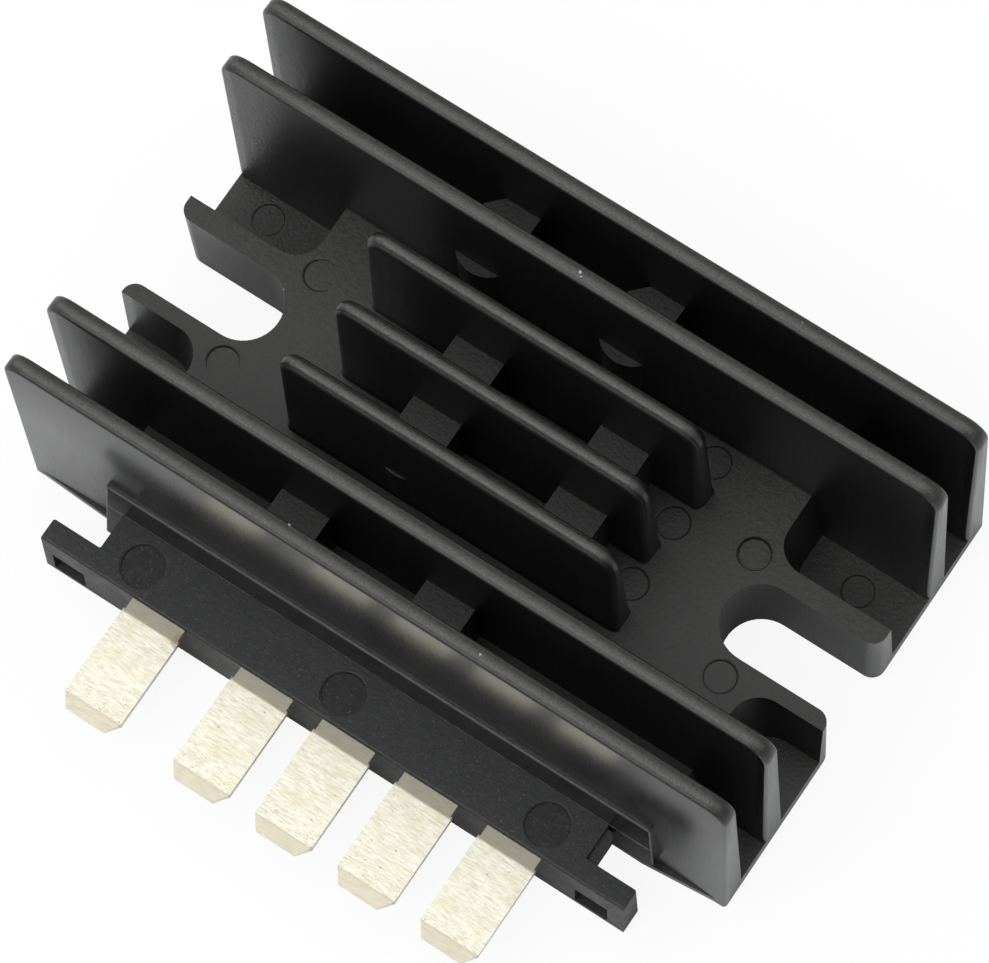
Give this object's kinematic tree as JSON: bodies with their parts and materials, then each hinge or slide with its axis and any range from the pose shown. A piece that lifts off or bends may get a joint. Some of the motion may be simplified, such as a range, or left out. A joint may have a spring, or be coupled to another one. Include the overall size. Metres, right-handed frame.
{
  "type": "voltage regulator rectifier",
  "caption": "Finned die-cast heatsink with open bolt slots and a plastic strip of flat blade terminals, which rectifies and regulates the output of an alternator.",
  "frame": {"origin": "middle of the casting on its mounting face, on the centre plane of the middle fin", "axes": "+X along the fins, -Y the way the blades point, +Z from the mounting face up along the fins"},
  "size_m": [0.0784, 0.0633, 0.0295],
  "materials": {
    "black_paint": "satin black paint over a die casting",
    "black_plastic": "matt black moulding",
    "tinned_metal": "dull tin plate",
    "resin": "cast resin",
    "bond_rubber": "grey heat-conducting bond",
    "white_ceramic": "plain ceramic",
    "package_plastic": "moulded package",
    "chip_ceramic": "glazed chip",
    "capacitor_ceramic": "plain chip"
  },
  "bodies": {
    "root": {"heatsink": "black_paint", "terminal_holder": "black_plastic", "potting_compound": "resin", "bond_sheet": "bond_rubber", "circuit_substrate": "white_ceramic", "control_ic": "package_plastic", "reference_diode": "package_plastic", "timing_capacitor": "capacitor_ceramic", "blade_terminal_1": "tinned_metal", "blade_terminal_2": "tinned_metal", "blade_terminal_3": "tinned_metal", "blade_terminal_4": "tinned_metal", "blade_terminal_5": "tinned_metal", "thyristor_1": "package_plastic", "rectifier_diode_1": "package_plastic", "gate_resistor_1": "chip_ceramic", "thyristor_2": "package_plastic", "rectifier_diode_2": "package_plastic", "gate_resistor_2": "chip_ceramic", "thyristor_3": "package_plastic", "rectifier_diode_3": "package_plastic", "gate_resistor_3": "chip_ceramic", "divider_resistor_1": "chip_ceramic", "divider_resistor_2": "chip_ceramic"}
  },
  "joints": []
}
